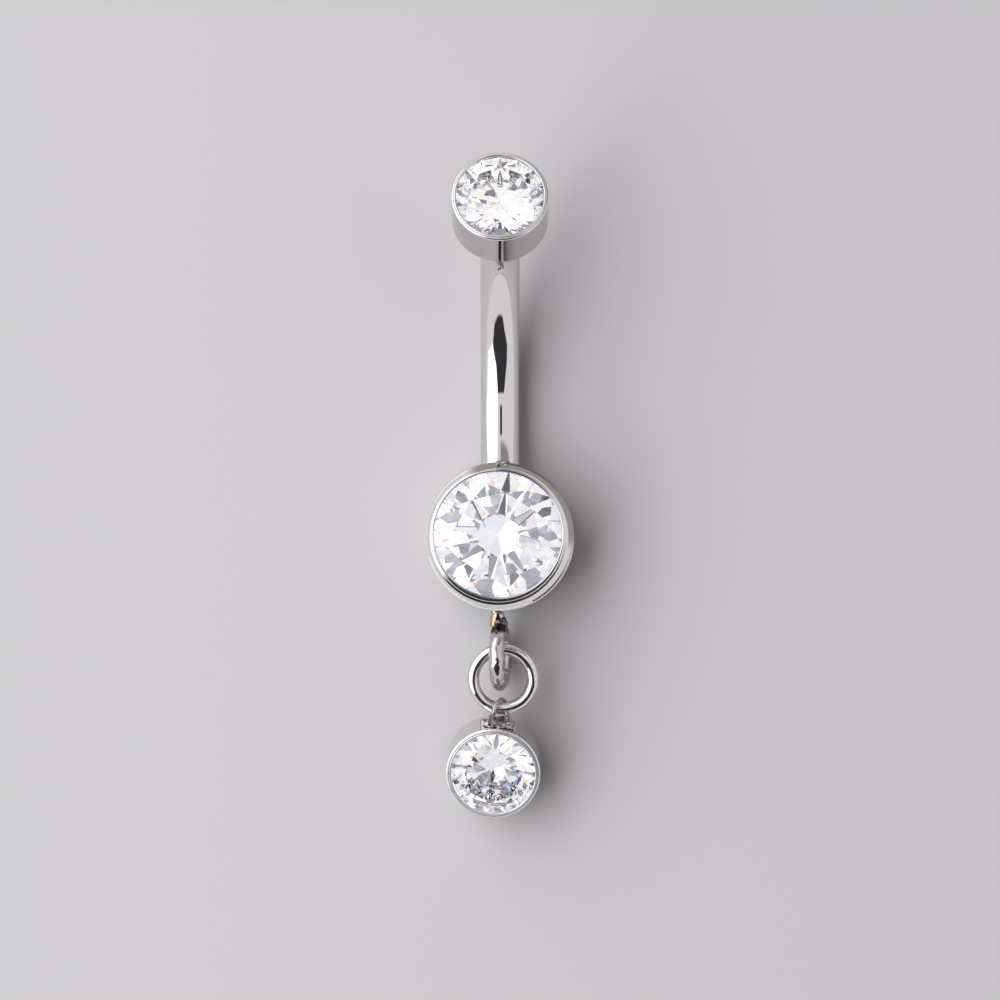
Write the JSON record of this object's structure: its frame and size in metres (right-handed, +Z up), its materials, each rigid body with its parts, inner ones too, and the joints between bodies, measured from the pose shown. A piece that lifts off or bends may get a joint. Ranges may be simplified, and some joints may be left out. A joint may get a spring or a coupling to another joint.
{
  "type": "navel ring",
  "caption": "Curved barbell navel ring with a bezel-set clear stone at each end and a small bezel-set drop linked below by a jump ring, lying on its back",
  "frame": {"origin": "centre of the large setting's flat back, on the surface that the ring lies on", "axes": "+Z up, out of the large stone's face; +Y along the bar towards the screw-on top end; +X to the wearer's left, the right of the picture"},
  "size_m": [0.006, 0.0267, 0.0081],
  "materials": {
    "polished_metal": "mirror polished, neutral grey",
    "clear_stone": "clear round brilliant cut with flat polished facets"
  },
  "bodies": {
    "root": {"curved_bar": "polished_metal", "main_stone": "clear_stone", "top_bezel": "polished_metal", "top_stone": "clear_stone", "jump_ring": "polished_metal", "drop_bezel": "polished_metal", "drop_stone": "clear_stone"}
  },
  "joints": []
}
